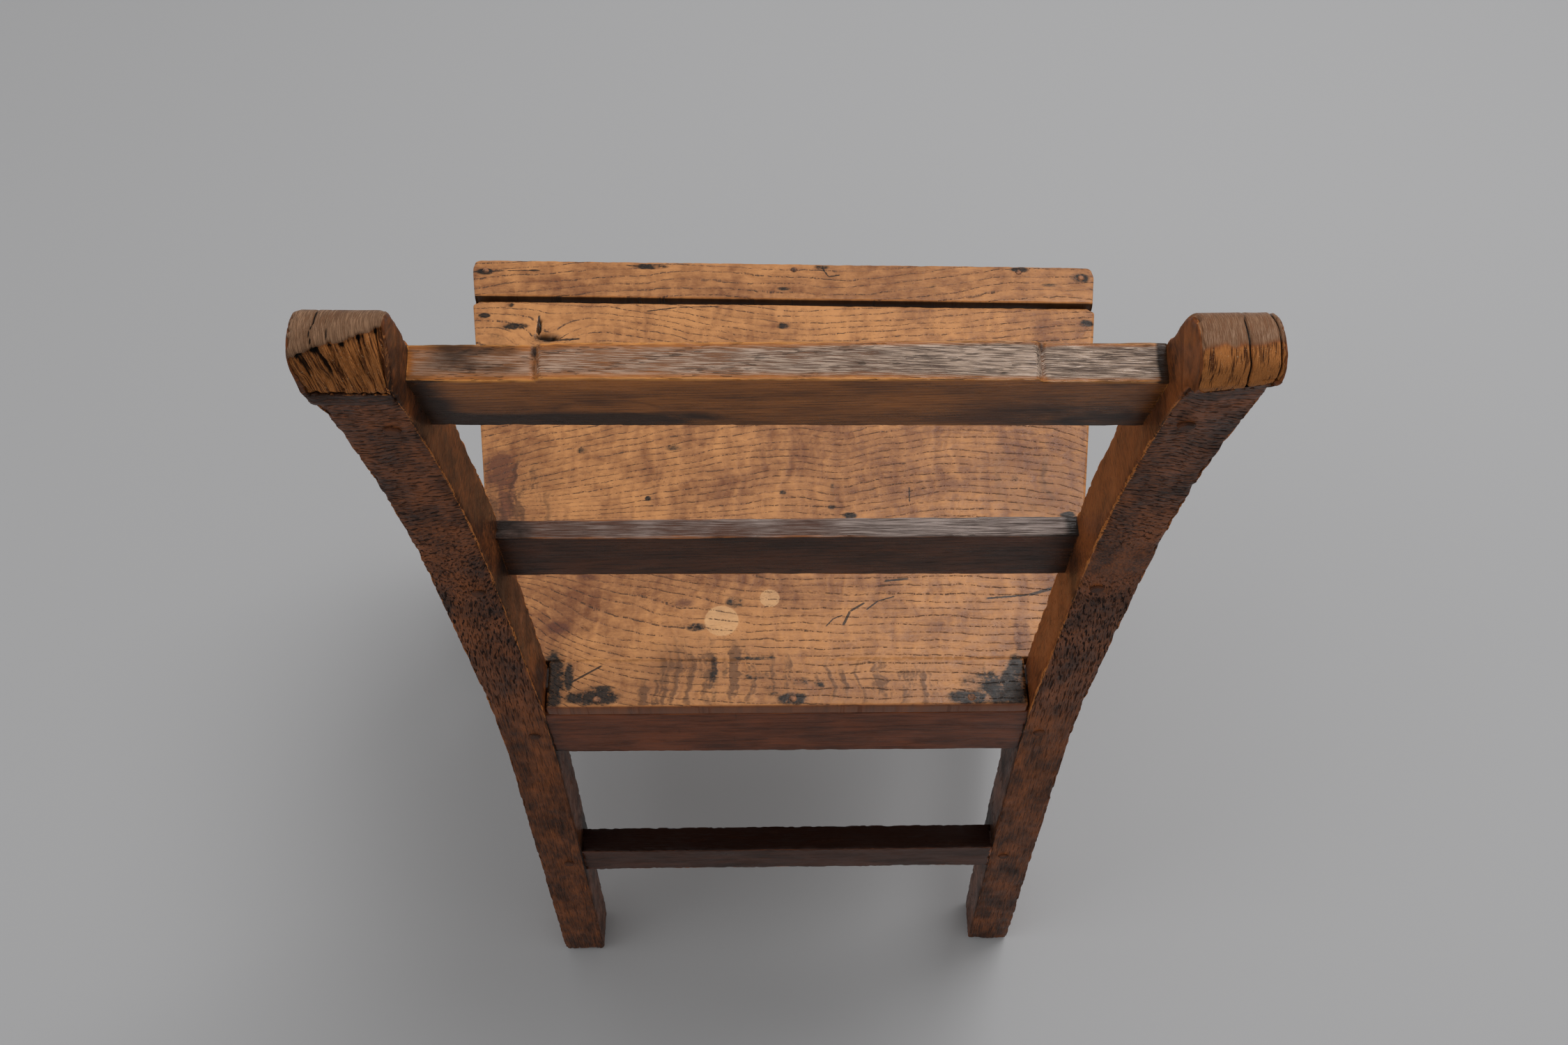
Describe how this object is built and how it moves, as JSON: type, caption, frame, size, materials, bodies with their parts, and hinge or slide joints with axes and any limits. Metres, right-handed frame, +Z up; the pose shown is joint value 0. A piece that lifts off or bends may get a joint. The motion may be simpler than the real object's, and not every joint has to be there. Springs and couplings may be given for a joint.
{
  "type": "joined side chair",
  "caption": "Rustic joined oak side chair with swept rear posts ending in scrolled ears, an open rail back, a solid splayed plank seat and low stretchers.",
  "frame": {"origin": "on the floor, under the middle of the chair's bounding box", "axes": "+Z up; +Y towards the chair's back; +X towards the sitter's left"},
  "size_m": [0.5078, 0.478, 0.924],
  "materials": {
    "oak_frame": "dark waxed oak, worn brown on the arrises",
    "oak_seat": "honey-brown waxed oak with open pores",
    "oak_peg": "riven oak peg ends darkened with age",
    "iron_nail": "forged iron, rusted brown"
  },
  "bodies": {
    "root": {"crest_pegs": "oak_peg", "crest_rail": "oak_frame", "front_leg_left": "oak_frame", "front_leg_right": "oak_frame", "front_seat_rail": "oak_frame", "front_seat_rail_pegs": "oak_peg", "front_stretcher": "oak_frame", "front_stretcher_pegs": "oak_peg", "mid_rail": "oak_frame", "mid_rail_pegs": "oak_peg", "rear_post_left": "oak_frame", "rear_post_right": "oak_frame", "rear_seat_rail": "oak_frame", "rear_seat_rail_pegs": "oak_peg", "rear_stretcher": "oak_frame", "rear_stretcher_pegs": "oak_peg", "seat_board": "oak_seat", "seat_board_nails": "iron_nail", "seat_front_strip": "oak_seat", "seat_strip_nails": "iron_nail", "side_seat_rail_left": "oak_frame", "side_seat_rail_pegs": "oak_peg", "side_seat_rail_right": "oak_frame", "side_stretcher_left": "oak_frame", "side_stretcher_pegs": "oak_peg", "side_stretcher_right": "oak_frame"}
  },
  "joints": []
}
